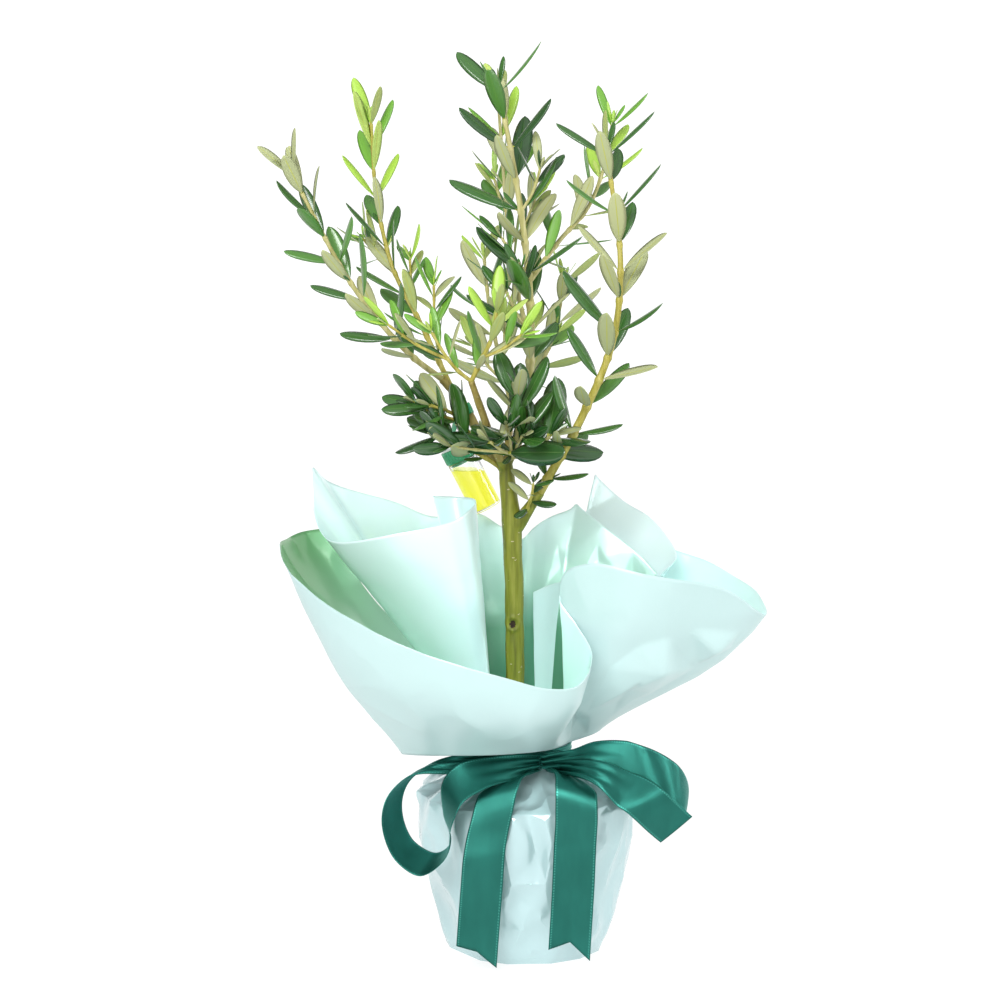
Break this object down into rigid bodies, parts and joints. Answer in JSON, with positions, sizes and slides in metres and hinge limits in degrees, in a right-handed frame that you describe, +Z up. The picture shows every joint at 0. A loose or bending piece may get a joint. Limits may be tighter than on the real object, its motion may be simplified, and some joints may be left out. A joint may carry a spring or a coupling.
{
  "type": "potted olive tree",
  "caption": "Young olive tree in a gift-wrapped pot: slim leaning trunk, open leafy shoots, flared film collar tied with a satin bow, and a small hanging vial.",
  "frame": {"origin": "middle of the wrapped pot's flat underside, on the surface it stands on", "axes": "+Z up along the trunk, front with the bow towards -Y, +X to the right seen from the front"},
  "size_m": [0.305, 0.2102, 0.5484],
  "materials": {
    "pot": "matt",
    "soil": "rough, damp",
    "film": "pearly satin",
    "ribbon": "satin weave",
    "glass": "clear, polished",
    "oil": "clear liquid",
    "cap": "glossy",
    "bark": "smooth young bark",
    "leaf": "waxy"
  },
  "bodies": {
    "root": {"pot": "pot", "soil": "soil", "film_wrap": "film", "film_front": "film", "film_left": "film", "film_back": "film", "film_strip": "film", "film_inner": "film", "ribbon_band": "ribbon", "ribbon_knot": "ribbon", "ribbon_left_tail": "ribbon", "ribbon_right_tail": "ribbon", "ribbon_left_loop": "ribbon", "ribbon_right_loop": "ribbon", "ribbon_right_end": "ribbon", "vial_glass": "glass", "vial_oil": "oil", "vial_cap": "cap", "vial_tie": "cap", "trunk": "bark", "bough_leader": "bark", "bough_left": "bark", "bough_right": "bark", "bough_front": "bark", "bough_back": "bark", "foliage_low_left": "leaf", "foliage_low_right": "leaf", "foliage_front": "leaf", "foliage_leader": "leaf", "foliage_right": "leaf", "foliage_left_outer": "leaf", "foliage_left_tall": "leaf", "foliage_back": "leaf"}
  },
  "joints": []
}
